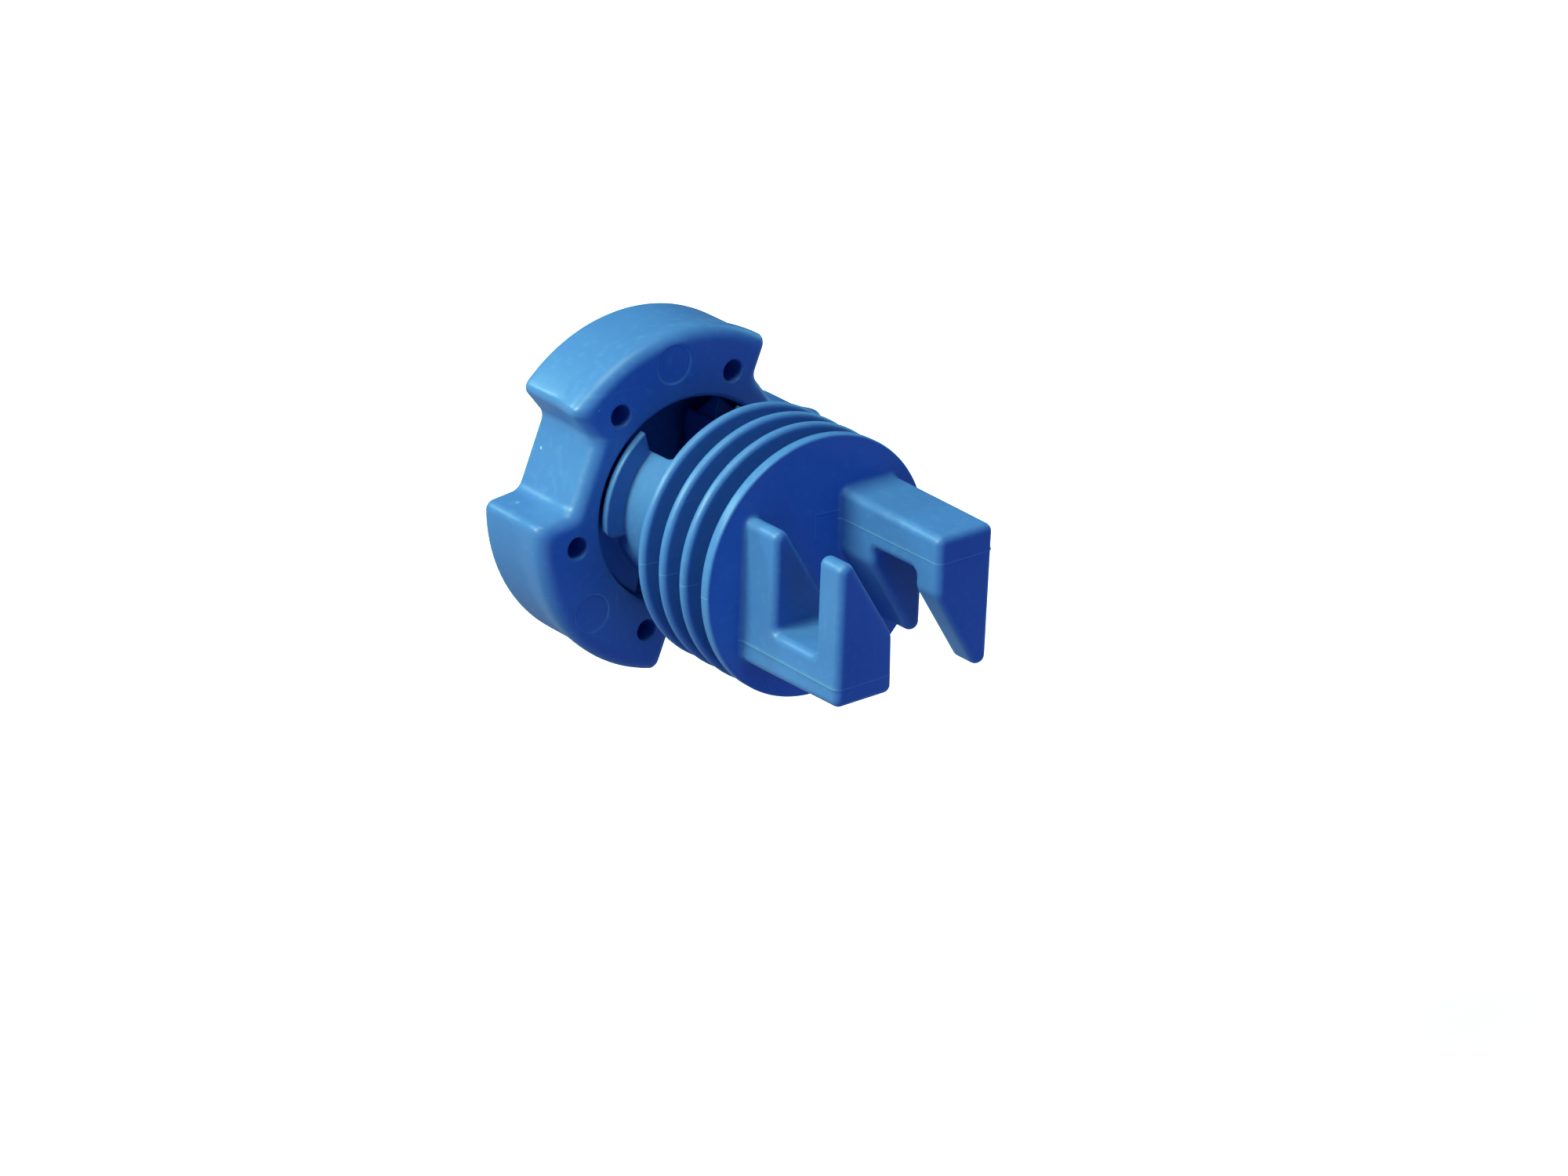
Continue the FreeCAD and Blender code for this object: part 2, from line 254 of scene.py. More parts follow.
def arc(centre, radius, start, end, steps):
    """Points on an arc in a plane, from one angle to another, both ends included."""
    points = []
    for step in range(steps + 1):
        turn = math.radians(start + (end - start) * step / steps)
        points.append((centre[0] + radius * math.cos(turn), centre[1] + radius * math.sin(turn)))
    return points


def rounded_corner(before, corner, after, radius, steps, grow=0.0):
    """Points of the arc that rounds a path's corner, moved outwards by an amount."""
    corner = Vector(corner)
    to_before = (Vector(before) - corner).normalized()
    to_after = (Vector(after) - corner).normalized()
    half_angle = to_before.angle(to_after) / 2
    start = corner + to_before * (radius / math.tan(half_angle))
    centre = corner + (to_before + to_after).normalized() * (radius / math.sin(half_angle))
    arm = (start - centre) * (1 + grow / radius)
    sweep = math.pi - 2 * half_angle
    if to_before.x * to_after.y - to_before.y * to_after.x > 0:
        sweep = -sweep
    points = []
    for step in range(steps + 1):
        turn = sweep * step / steps
        points.append((
            centre.x + arm.x * math.cos(turn) - arm.y * math.sin(turn),
            centre.y + arm.x * math.sin(turn) + arm.y * math.cos(turn),
        ))
    return points


def rounded_path(corners, closed, steps=ARC_STEPS, grow=0.0):
    """Points of a path whose (point, radius) corners are rounded."""
    points = []
    count = len(corners)
    for index, (point, radius) in enumerate(corners):
        is_end = not closed and index in (0, count - 1)
        if radius == 0 or is_end:
            points.append(point)
            continue
        before = corners[index - 1][0]
        after = corners[(index + 1) % count][0]
        points.extend(rounded_corner(before, point, after, radius, steps, grow))
    return points


def quarter_round(radius, steps):
    """Setbacks along a quarter round: one grows from nothing, one shrinks to it."""
    pairs = []
    for step in range(steps + 1):
        turn = math.radians(90.0 * step / steps)
        pairs.append((radius * (1 - math.cos(turn)), radius * (1 - math.sin(turn))))
    return pairs


def place_xz(radius, angle):
    """Point at a radius and angle about the Y axis, counted from +X towards +Z."""
    turn = math.radians(angle)
    return radius * math.cos(turn), radius * math.sin(turn)


def circle(radius, y, segments, centre=(0, 0)):
    """Points of a circle round a line along Y."""
    points = []
    for index in range(segments):
        turn = 2 * math.pi * index / segments
        points.append((centre[0] + radius * math.cos(turn), y, centre[1] + radius * math.sin(turn)))
    return points


def edit_mesh(mesh, change):
    """Run a change on a mesh's points and faces."""
    shell = bmesh.new()
    shell.from_mesh(mesh)
    change(shell)
    shell.to_mesh(mesh)
    shell.free()


def weld(shell):
    """Merge points that meet."""
    bmesh.ops.remove_doubles(shell, verts=shell.verts, dist=WELD)


def close_up(shell):
    """Merge points that meet, and turn the faces outwards."""
    weld(shell)
    bmesh.ops.recalc_face_normals(shell, faces=shell.faces)


def heal_cut(shell):
    """Merge points that a cut left almost on each other, and drop what has no size."""
    bmesh.ops.remove_doubles(shell, verts=shell.verts, dist=CUT_WELD)
    bmesh.ops.dissolve_degenerate(shell, edges=shell.edges, dist=CUT_WELD)


def join_facets(shell):
    """Merge the points of CAD facets, and make each flat face one face."""
    bmesh.ops.remove_doubles(shell, verts=shell.verts, dist=CAD_WELD)
    flat = math.radians(FLAT_ANGLE)
    bmesh.ops.dissolve_limit(shell, angle_limit=flat, verts=shell.verts, edges=shell.edges)


def place_object(name, data):
    """New object in the scene."""
    placed = bpy.data.objects.new(name, data)
    bpy.context.scene.collection.objects.link(placed)
    return placed


def ring_stack(name, rings):
    """Closed mesh through rings of equally many points, in millimetres."""
    count = len(rings[0])
    points = [Vector(point) for ring in rings for point in ring]
    faces = []
    for low in range(0, len(points) - count, count):
        high = low + count
        for index in range(count):
            after = (index + 1) % count
            faces.append((low + index, low + after, high + after, high + index))
    faces.append(tuple(range(count)))
    faces.append(tuple(range(len(points) - count, len(points))))
    mesh = bpy.data.meshes.new(name)
    mesh.from_pydata(points, [], faces)
    edit_mesh(mesh, close_up)
    return place_object(name, mesh)


def turned(name, profile):
    """Mesh turned about the Y axis from (radius, y) points that start and end on it."""
    return ring_stack(name, [circle(radius, y, TURN_SEGMENTS) for radius, y in profile[1:-1]])


def slab_y(name, outline, places):
    """Plate between two places along Y, from an outline of x and z."""
    return ring_stack(name, [[(x, y, z) for x, z in outline] for y in places])


def slab_z(name, outline, places):
    """Plate between two places along Z, from an outline of x and y."""
    return ring_stack(name, [[(x, y, z) for x, y in outline] for z in places])


def combine(target, tool, operation="UNION"):
    """Join a tool to a target, or cut it away, and drop the tool."""
    modifier = target.modifiers.new("combine", "BOOLEAN")
    modifier.operation = operation
    modifier.solver = "EXACT"
    modifier.object = tool
    bake(target)
    bpy.data.objects.remove(tool)
    edit_mesh(target.data, heal_cut)


def bake(piece):
    """Replace a piece's mesh by what its modifiers make of it."""
    graph = bpy.context.evaluated_depsgraph_get()
    baked = bpy.data.meshes.new_from_object(piece.evaluated_get(graph))
    piece.modifiers.clear()
    piece.data = baked


def stem_profile():
    """Half outline of the disc and the plain stem."""
    return rounded_path([
        ((0, DISC_FRONT_Y), 0),
        ((FIN_RADIUS, DISC_FRONT_Y), DISC_EDGE_ROUND),
        ((FIN_RADIUS, DISC_BACK_Y), DISC_EDGE_ROUND),
        ((STEM_RADIUS, DISC_BACK_Y), FIN_ROOT_ROUND),
        ((STEM_RADIUS, PRONG_END_Y - PRONG_TIP_BEVEL), PRONG_TIP_ROUND),
        ((STEM_RADIUS - PRONG_TIP_BEVEL, PRONG_END_Y), PRONG_TIP_ROUND),
        ((0, PRONG_END_Y), 0),
    ], closed=False)


def fin_profile():
    """Half outline of the first fin: tapered, round at its rim, filleted at its root."""
    half_root = FIN_ROOT_THICKNESS / 2
    half_rim = FIN_RIM_THICKNESS / 2
    foot = half_root + 2 * FIN_ROOT_ROUND
    low_side = [
        ((0, FIRST_FIN_Y - foot), 0),
        ((STEM_RADIUS - FIN_SINK, FIRST_FIN_Y - foot), 0),
        ((STEM_RADIUS - FIN_ROOT_TUCK, FIRST_FIN_Y - half_root), FIN_ROOT_ROUND),
        ((FIN_RADIUS, FIRST_FIN_Y - half_rim), half_rim * FIN_RIM_ROUND_SHARE),
    ]
    high_side = []
    for (radius, y), rounding in reversed(low_side):
        high_side.append(((radius, 2 * FIRST_FIN_Y - y), rounding))
    return rounded_path(low_side + high_side, closed=False)


def tongues(outline):
    """Thin tongues on both sides, from the outline of the one at +X."""
    places = (-LINE_HALF_WIDTH, LINE_HALF_WIDTH)
    return [slab_z("tongue", [(side * x, y) for x, y in outline], places) for side in (-1, 1)]


def fin_flash():
    """Witness line across a fin's rim on both sides, a little proud of it."""
    half_rim = FIN_RIM_THICKNESS / 2
    root_x = FIN_RADIUS - 3 * half_rim
    rim_centre = (FIN_RADIUS - half_rim, FIRST_FIN_Y)
    tip = arc(rim_centre, half_rim + LINE_HEIGHT, -90, 90, 2 * ARC_STEPS)
    return tongues([(root_x, FIRST_FIN_Y - half_rim)] + tip + [(root_x, FIRST_FIN_Y + half_rim)])


def disc_flash():
    """Witness line across the disc's rim on both sides."""
    root_x = FIN_RADIUS - 2 * (DISC_BACK_Y - DISC_FRONT_Y)
    return tongues(rounded_path([
        ((root_x, DISC_FRONT_Y + DISC_EDGE_ROUND), 0),
        ((FIN_RADIUS - DISC_EDGE_ROUND, DISC_FRONT_Y), 0),
        ((FIN_RADIUS + LINE_HEIGHT, DISC_FRONT_Y), DISC_EDGE_ROUND),
        ((FIN_RADIUS + LINE_HEIGHT, DISC_BACK_Y), DISC_EDGE_ROUND),
        ((FIN_RADIUS - DISC_EDGE_ROUND, DISC_BACK_Y), 0),
        ((root_x, DISC_BACK_Y - DISC_EDGE_ROUND), 0),
    ], closed=True))


def disc_lines():
    """Thin raised lines on the disc: the corner of a mould insert and a small scrape."""
    lines = []
    for corners in (INSERT_CORNER_LINE, SCRAPE):
        start, middle, end = (Vector(corner) for corner in corners)
        first = (middle - start).normalized()
        last = (end - middle).normalized()
        normals = [Vector((-way.y, way.x)) for way in (first, first + last, last)]
        normals[1] = normals[1].normalized() / math.cos(first.angle(last) / 2)
        left = []
        right = []
        for point, normal in zip((start, middle, end), normals):
            left.append(point + normal * LINE_HALF_WIDTH)
            right.append(point - normal * LINE_HALF_WIDTH)
        places = (DISC_FRONT_Y + DISC_EDGE_ROUND, DISC_FRONT_Y - LINE_HEIGHT)
        lines.append(slab_y("disc_line", left + right[::-1], places))
    return lines


def slot_outline(grow):
    """Slot seen along Z: parallel walls that close to a V with a round nose."""
    spread = math.radians(SEAT_ARC_HALF_ANGLE)
    nose_x = CLAMPED_RADIUS * math.sin(spread)
    nose_y = -CLAMPED_RADIUS * math.cos(spread)
    half_slot = SLOT_WIDTH / 2
    shoulder = (half_slot, nose_y + (half_slot - nose_x) * math.tan(spread))
    top_y = PRONG_END_Y + STEM_RADIUS
    top = (half_slot, top_y)
    wall = rounded_corner(top, shoulder, (nose_x, nose_y), SLOT_WALL_BLEND, ARC_STEPS, grow)
    first = SEAT_ARC_HALF_ANGLE - 90
    last = -SEAT_ARC_HALF_ANGLE - 90
    nose = arc((0, 0), CLAMPED_RADIUS + grow, first, last, NOSE_STEPS)
    left_wall = [(-x, y) for x, y in reversed(wall)]
    return [(half_slot + grow, top_y)] + wall + nose + left_wall + [(-half_slot - grow, top_y)]


def slot_cutter():
    """Tool for the slot, flared where it leaves the stem to give round edges."""
    reach = STEM_RADIUS + FIN_RADIUS
    upper = [[(x, y, reach) for x, y in slot_outline(SLOT_EDGE_ROUND)]]
    for inset, grow in quarter_round(SLOT_EDGE_ROUND, SLOT_EDGE_STEPS):
        radius = STEM_RADIUS - inset
        upper.append([(x, y, math.sqrt(radius ** 2 - x ** 2)) for x, y in slot_outline(grow)])
    lower = [[(x, y, -z) for x, y, z in ring] for ring in reversed(upper)]
    return ring_stack("slot_cutter", upper + lower)


def ridge_slot_angle(radius):
    """Angle at which a ridge ends beside the slot, where its end face leans away."""
    near_x = SLOT_WIDTH / 2 + THREAD_SLOT_SETBACK
    base_z = math.sqrt(STEM_RADIUS ** 2 - near_x ** 2)
    slope = math.tan(math.radians(THREAD_SLOT_TAPER))
    lean = math.atan(slope)
    reach = (near_x - base_z * slope) * math.cos(lean)
    return math.degrees(math.acos(reach / radius) - lean)


def ridge_free_angle(radius):
    """Angle past the prong's middle at which a ridge ends, with a rounded top."""
    crest = STEM_RADIUS + THREAD_HEIGHT
    into_round = max(0.0, (radius - crest + THREAD_END_ROUND) / THREAD_END_ROUND)
    setback = THREAD_END_ROUND * (1 - math.sqrt(max(0.0, 1 - into_round ** 2)))
    return -math.degrees((THREAD_OVERRUN - setback) / radius)


def ridge_section(start_y):
    """Section of a ridge: a steep front, a narrow land and a long slope behind it."""
    inner = STEM_RADIUS - THREAD_SINK
    crest = STEM_RADIUS + THREAD_HEIGHT
    land_y = start_y + THREAD_LAND
    rise = crest - THREAD_EDGE_ROUND - inner
    section = [(inner + rise * step / RIDGE_FRONT_STEPS, start_y) for step in range(RIDGE_FRONT_STEPS)]
    section.extend(rounded_path([
        ((inner, start_y), 0),
        ((crest, start_y), THREAD_EDGE_ROUND),
        ((crest, land_y), THREAD_EDGE_ROUND),
        ((inner, land_y + THREAD_HEIGHT + THREAD_SINK), 0),
    ], closed=False)[1:])
    return section


def thread_ridge(start_y, side, half):
    """One half ring of the thread, from the slot to past the prong's middle."""
    section = ridge_section(start_y)
    rings = []
    for step in range(RIDGE_STEPS + 1):
        ring = []
        for radius, y in section:
            slot_end = ridge_slot_angle(radius)
            free_end = ridge_free_angle(radius)
            x, z = place_xz(radius, slot_end + (free_end - slot_end) * step / RIDGE_STEPS)
            ring.append((side * x, y, half * z))
        rings.append(ring)
    return ring_stack("ridge", rings)


def hooks():
    """Both hooks, cut from a copy of the CAD body just in front of the disc."""
    source = frame["nodes"]["insulator_body"]
    mesh = source.data.copy()
    mesh.transform(Matrix.Scale(1 / MM, 4) @ source.matrix_world)
    edit_mesh(mesh, join_facets)
    mesh.materials.clear()
    pair = place_object("hooks", mesh)
    reach = 2 * FIN_RADIUS
    corners = [(-reach, -reach), (reach, -reach), (reach, reach), (-reach, reach)]
    keep = slab_y("keep", corners, (HOOK_FRONT_Y - reach, DISC_FRONT_Y - HOOK_FOOT_START))
    combine(pair, keep, "INTERSECT")
    return pair


def foot_outline(grow):
    """Front view of a hook's foot, moved outwards by an amount."""
    outer_x = HOOK_HALF_GAP + HOOK_WIDTH
    slope = math.tan(math.radians(FINGER_SLOPE_ANGLE))
    taper = math.tan(math.radians(FINGER_TAPER_ANGLE))
    climb = ARM_OUTER_HEIGHT + FINGER_SLOPE_START
    rise = (HOOK_WIDTH - climb * taper) / (slope + taper)
    apex = (HOOK_HALF_GAP + rise * slope, FINGER_SLOPE_START + rise)
    return rounded_path([
        ((HOOK_HALF_GAP, -ARM_OUTER_HEIGHT), HOOK_EDGE_ROUND),
        ((outer_x, -ARM_OUTER_HEIGHT), HOOK_EDGE_ROUND),
        (apex, FINGER_TIP_ROUND),
        ((HOOK_HALF_GAP, FINGER_SLOPE_START), FINGER_SLOPE_ROUND),
    ], closed=True, steps=2 * ARC_STEPS, grow=grow)


def hook_foot(side):
    """Soft fillet between the disc and the foot of one side's hook."""
    rows = [(DISC_FRONT_Y + DISC_EDGE_ROUND, HOOK_FOOT_ROUND)]
    for grow, forward in reversed(quarter_round(HOOK_FOOT_ROUND, FOOT_STEPS)):
        rows.append((DISC_FRONT_Y - forward, grow))
    rows.append((DISC_FRONT_Y - 2 * HOOK_FOOT_ROUND, -LINE_HEIGHT))
    rings = []
    for y, grow in rows:
        rings.append([(side * x, y, -side * z) for x, z in foot_outline(grow)])
    return ring_stack("hook_foot", rings)


def arm_line(side):
    """Witness line round one arm: a thin plate, proud of its sides but not of its front."""
    z = ARM_LINES[side]
    inner_x = side * HOOK_HALF_GAP
    outer_x = side * (HOOK_HALF_GAP + HOOK_WIDTH)
    front_y = HOOK_FRONT_Y + LINE_HEIGHT + LINE_SETBACK
    outline = rounded_path([
        ((inner_x, DISC_BACK_Y), LINE_BACK_CORNER),
        ((inner_x, front_y), HOOK_EDGE_ROUND),
        ((outer_x, front_y), HOOK_EDGE_ROUND),
        ((outer_x, DISC_BACK_Y), LINE_BACK_CORNER),
    ], closed=True, grow=LINE_HEIGHT)
    return slab_z("arm_line", outline, (z - LINE_HALF_WIDTH, z + LINE_HALF_WIDTH))


def insulator_body(material):
    """Turned form, slot, thread ridges, hooks and fins in one mesh."""
    body = turned("insulator_body_visual", stem_profile())
    combine(body, slot_cutter(), "DIFFERENCE")
    for half, starts in THREAD_STARTS.items():
        for start_y in starts:
            for side in (-1, 1):
                combine(body, thread_ridge(start_y, side, half))
    for line in disc_flash() + disc_lines():
        combine(body, line)
    arms = hooks()
    for side in ARM_LINES:
        combine(arms, arm_line(side))
        combine(arms, hook_foot(side))
    combine(body, arms)
    fins = turned("fins", fin_profile())
    for tongue in fin_flash():
        combine(fins, tongue)
    repeat(fins, {"Count": FIN_COUNT, "Pitch": FIN_PITCH, "Plastic": material})
    combine(body, fins)
    return body


def notch_wall(inset):
    """Floor corner and direction of a notch wall that is set back by an inset."""
    opening = math.radians(NOTCH_WALL_ANGLE)
    spread = inset * (1 - math.sin(opening)) / math.cos(opening)
    floor = Vector((NOTCH_FLOOR_RADIUS - inset, NOTCH_FLOOR_HALF_WIDTH + spread))
    return floor, Vector((math.cos(opening), math.sin(opening)))


def lobe_corner(floor, wall, rim_radius, corner_radius):
    """Points of the arc that joins a notch wall to the knob's rim."""
    inward = Vector((-wall.y, wall.x))
    start = floor + inward * corner_radius
    along = start.dot(wall)
    inner = rim_radius - corner_radius
    centre = start + wall * (math.sqrt(along ** 2 - start.dot(start) + inner ** 2) - along)
    first, last = (math.degrees(math.atan2(way.y, way.x)) for way in (-inward, centre))
    return arc(centre, corner_radius, first, last, 2 * ARC_STEPS)


def knob_outline(inset):
    """Three-lobed outline in the plane across the axis, set back by an inset."""
    rim_radius = KNOB_RADIUS - inset
    floor, wall = notch_wall(inset)
    floor_arc = rounded_corner((floor.x, -floor.y), floor, floor + wall, NOTCH_FLOOR_ROUND, ARC_STEPS)
    corner_radius = LOBE_CORNER_ROUND + LOBE_CORNER_GROWTH * inset
    corner_arc = lobe_corner(floor, wall, rim_radius, corner_radius)
    half_notch = floor_arc + corner_arc
    mirrored = [(x, -y) for x, y in reversed(half_notch)]
    rim_angle = math.degrees(math.atan2(corner_arc[-1][1], corner_arc[-1][0]))
    step = 360.0 / KNOB_LOBES
    rim = arc((0, 0), rim_radius, rim_angle, step - rim_angle, LOBE_ARC_STEPS)[1:-1]
    points = []
    for number in range(KNOB_LOBES):
        turn = math.radians(KNOB_LOBE_ANGLE + step / 2 + number * step)
        for x, y in mirrored + half_notch + rim:
            points.append((
                x * math.cos(turn) - y * math.sin(turn),
                x * math.sin(turn) + y * math.cos(turn),
            ))
    return points


def blend(low, high, share):
    """Smooth step between two values."""
    return low + (high - low) * (3 - 2 * share) * share ** 2


def knob_sections():
    """Depth and inset of each section: front edge, way to the waist, way on, back edge."""
    back = KNOB_BACK_Y - KNOB_FACE_Y
    back_start = back - KNOB_BACK_ROUND
    shares = [step / KNOB_SECTION_STEPS for step in range(1, KNOB_SECTION_STEPS + 1)]
    sections = quarter_round(KNOB_FRONT_ROUND, KNOB_SECTION_STEPS)
    for share in shares:
        depth = KNOB_FRONT_ROUND + (KNOB_WAIST_DEPTH - KNOB_FRONT_ROUND) * share
        sections.append((depth, blend(0, KNOB_WAIST_INSET, share)))
    for share in shares[:-1]:
        depth = KNOB_WAIST_DEPTH + (back_start - KNOB_WAIST_DEPTH) * share
        sections.append((depth, blend(KNOB_WAIST_INSET, KNOB_BACK_INSET, share)))
    for inset, left in quarter_round(KNOB_BACK_ROUND, KNOB_SECTION_STEPS):
        sections.append((back - left, KNOB_BACK_INSET + inset))
    return sections


def knob_blank():
    """Knob without its bore and holes."""
    rings = []
    for depth, inset in knob_sections():
        rings.append([(x, KNOB_FACE_Y + depth, z) for x, z in knob_outline(inset)])
    return ring_stack("clamp_knob_visual", rings)


def groove_share(share):
    """Depth of the inside thread, as a share, along its pitch."""
    if share < GROOVE_LAND_SHARE:
        return 1.0
    if share < GROOVE_SLOPE_END_SHARE:
        return 1.0 - (share - GROOVE_LAND_SHARE) / (GROOVE_SLOPE_END_SHARE - GROOVE_LAND_SHARE)
    return 0.0


def bore_cutter():
    """Bore with a soft mouth and a turned-in thread groove along its wall."""
    mouth = KNOB_BORE_RADIUS + KNOB_MOUTH_ROUND
    rings = [circle(mouth, y, BORE_SEGMENTS) for y in (KNOB_FACE_Y - 1, KNOB_FACE_Y)]
    length = KNOB_FLOOR_Y - KNOB_FACE_Y - KNOB_MOUTH_ROUND
    for row in range(BORE_ROWS + 1):
        y = KNOB_FACE_Y + KNOB_MOUTH_ROUND + length * row / BORE_ROWS
        fade_in = (y - KNOB_FACE_Y - GROOVE_FRONT_MARGIN) / GROOVE_FRONT_FADE
        fade_in = min(1.0, max(0.0, fade_in))
        fade_out = (KNOB_FLOOR_Y - GROOVE_BACK_MARGIN - y) / GROOVE_BACK_FADE
        fade_out = min(1.0, max(0.0, fade_out))
        ring = []
        for index in range(BORE_SEGMENTS):
            along = y - KNOB_FACE_Y - GROOVE_START - THREAD_PITCH * index / BORE_SEGMENTS
            depth = groove_share((along / THREAD_PITCH) % 1.0)
            radius = KNOB_BORE_RADIUS + GROOVE_DEPTH * depth * fade_in * fade_out
            x, z = place_xz(radius, 360.0 * index / BORE_SEGMENTS)
            ring.append((x, y, z))
        rings.append(ring)
    return ring_stack("bore_cutter", rings)


def round_cutter(name, place, profile):
    """Tool turned about a line along Y at a place, from (radius, depth) points."""
    sizes = [(radius, KNOB_FACE_Y + depth, ROUND_CUTTER_SEGMENTS) for radius, depth in profile]
    return ring_stack(name, [circle(*size, place) for size in sizes])


def lobe_cutters():
    """Tools for one lobe's ejector mark and its two core holes."""
    soft = CORE_HOLE_MOUTH * CORE_HOLE_SOFT_SHARE
    mouth = CORE_HOLE_RADIUS + CORE_HOLE_MOUTH
    core_profile = [
        (mouth, -1),
        (mouth, 0),
        (CORE_HOLE_RADIUS + soft, soft),
        (CORE_HOLE_RADIUS, CORE_HOLE_MOUTH),
        (CORE_HOLE_RADIUS * CORE_HOLE_DRAFT_SHARE, CORE_HOLE_DEPTH - CORE_HOLE_TIP_LENGTH),
        (CORE_HOLE_RADIUS * CORE_HOLE_TIP_SHARE, CORE_HOLE_DEPTH),
    ]
    rim = EJECTOR_MARK_RADIUS + EJECTOR_MARK_EDGE
    mark_profile = [
        (rim, -1),
        (rim, 0),
        (EJECTOR_MARK_RADIUS, EJECTOR_MARK_DEPTH),
    ]
    mark_place = place_xz(EJECTOR_MARK_CIRCLE, KNOB_LOBE_ANGLE)
    cutters = round_cutter("lobe_cutters", mark_place, mark_profile)
    for spread in (-CORE_HOLE_SPREAD, CORE_HOLE_SPREAD):
        place = place_xz(CORE_HOLE_CIRCLE, KNOB_LOBE_ANGLE + spread)
        combine(cutters, round_cutter("core", place, core_profile))
    return cutters


def clamp_knob(material):
    """Three-lobed closed nut with its bore, core holes, ejector marks and gate mark."""
    knob = knob_blank()
    combine(knob, bore_cutter(), "DIFFERENCE")
    cutters = lobe_cutters()
    repeat(cutters, {"Count": KNOB_LOBES, "Step": 2 * math.pi / KNOB_LOBES, "Plastic": material})
    combine(knob, cutters, "DIFFERENCE")
    back = KNOB_BACK_Y - KNOB_FACE_Y
    dish = [
        (GATE_RADIUS - GATE_DEPTH, back - GATE_DEPTH),
        (GATE_RADIUS, back),
        (GATE_RADIUS, back + 1),
    ]
    combine(knob, round_cutter("gate_dish", (0, 0), dish), "DIFFERENCE")
    nub = [
        (GATE_NUB_RADIUS, back - 2 * GATE_DEPTH),
        (GATE_NUB_RADIUS, back - GATE_NUB_SHOULDER),
        (GATE_NUB_TOP_SHARE * GATE_NUB_RADIUS, back - GATE_NUB_SETBACK),
    ]
    combine(knob, round_cutter("gate_nub", (0, 0), nub))
    return knob


def flat_normals(shell):
    """Normal of the flat patch for each face that belongs to one."""
    flats = {}
    done = set()
    for seed in shell.faces:
        if seed.index in done:
            continue
        done.add(seed.index)
        patch = [seed]
        for face in patch:
            for edge in face.edges:
                for other in edge.link_faces:
                    if other.index in done:
                        continue
                    if other.normal.angle(seed.normal, math.pi) < math.radians(FLAT_ANGLE):
                        done.add(other.index)
                        patch.append(other)
        if sum(face.calc_area() for face in patch) > FLAT_AREA:
            total = Vector((0, 0, 0))
            for face in patch:
                total += face.normal * face.calc_area()
            for face in patch:
                flats[face.index] = total.normalized()
    return flats


def corner_normals(mesh):
    """Shading normals: flat faces stay flat, rounds run into them, sharp edges break."""
    shell = bmesh.new()
    shell.from_mesh(mesh)
    shell.normal_update()
    flats = flat_normals(shell)
    limit = math.cos(math.radians(SHARP_ANGLE))
    normals = []
    for face in shell.faces:
        for corner in face.loops:
            if face.index in flats:
                normals.append(flats[face.index])
                continue
            total = Vector((0, 0, 0))
            nearest = limit
            flat = None
            for other in corner.vert.link_loops:
                closeness = other.face.normal.dot(face.normal)
                if closeness < limit:
                    continue
                total += other.face.normal * other.calc_angle()
                if other.face.index in flats and closeness > nearest:
                    nearest = closeness
                    flat = flats[other.face.index]
            normals.append(flat or total.normalized())
    shell.free()
    return normals


def finish_piece(piece, node, material):
    """Shade a piece smoothly, bring it to metres and let it stand for its CAD node."""
    mesh = piece.data
    edit_mesh(mesh, weld)
    for polygon in mesh.polygons:
        polygon.use_smooth = True
        polygon.material_index = 0
    mesh.normals_split_custom_set(corner_normals(mesh))
    mesh.transform(Matrix.Scale(MM, 4))
    mesh.materials.clear()
    mesh.materials.append(material)
    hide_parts(node)
    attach(piece, body_of_node(node))


def body_of_node(node):
    """Body that carries a node in the record."""
    bodies = frame["record"]["behaviour"]["bodies"]
    return next(name for name, nodes in bodies.items() if node in nodes)


def new_tree(name, inputs, outputs, kind="ShaderNodeTree"):
    """Node group with named sockets, its inputs' values and its outputs."""
    tree = bpy.data.node_groups.new(name, kind)
    for way, sockets in (("INPUT", inputs), ("OUTPUT", outputs)):
        for socket_name, value_kind in sockets.items():
            tree.interface.new_socket(socket_name, in_out=way, socket_type="NodeSocket" + value_kind)
    return tree, tree.nodes.new("NodeGroupInput").outputs, tree.nodes.new("NodeGroupOutput").inputs


def feed(tree, sockets, values):
    """Give each named socket a plain value or another node's output."""
    for name, value in values.items():
        if isinstance(value, bpy.types.NodeSocket):
            tree.links.new(value, sockets[name])
        else:
            sockets[name].default_value = value


def add_node(tree, kind, values, **settings):
    """Node with its settings and fed inputs."""
    node = tree.nodes.new(kind)
    for name, value in settings.items():
        setattr(node, name, value)
    feed(tree, node.inputs, values)
    return node


def math_node(tree, operation, first, second=0.0, clamp=False):
    """Math node's result."""
    values = {0: first, 1: second}
    node = add_node(tree, "ShaderNodeMath", values, operation=operation, use_clamp=clamp)
    return node.outputs["Value"]


def vector_node(tree, operation, values):
    """Results of a vector math node."""
    return add_node(tree, "ShaderNodeVectorMath", values, operation=operation).outputs


def colour_mix(tree, share, low, high):
    """Mix of two colours."""
    return add_node(tree, "ShaderNodeMix", {0: share, 6: low, 7: high}, data_type="RGBA").outputs[2]


def range_node(tree, value, low, high, new_low=0.0, new_high=1.0):
    """Value brought from one range to another, and kept inside it."""
    values = {"Value": value, "From Min": low, "From Max": high, "To Min": new_low, "To Max": new_high}
    return add_node(tree, "ShaderNodeMapRange", values).outputs["Result"]


def object_place(tree):
    """Place in the object's own coordinates, in metres."""
    return tree.nodes.new("ShaderNodeTexCoord").outputs["Object"]


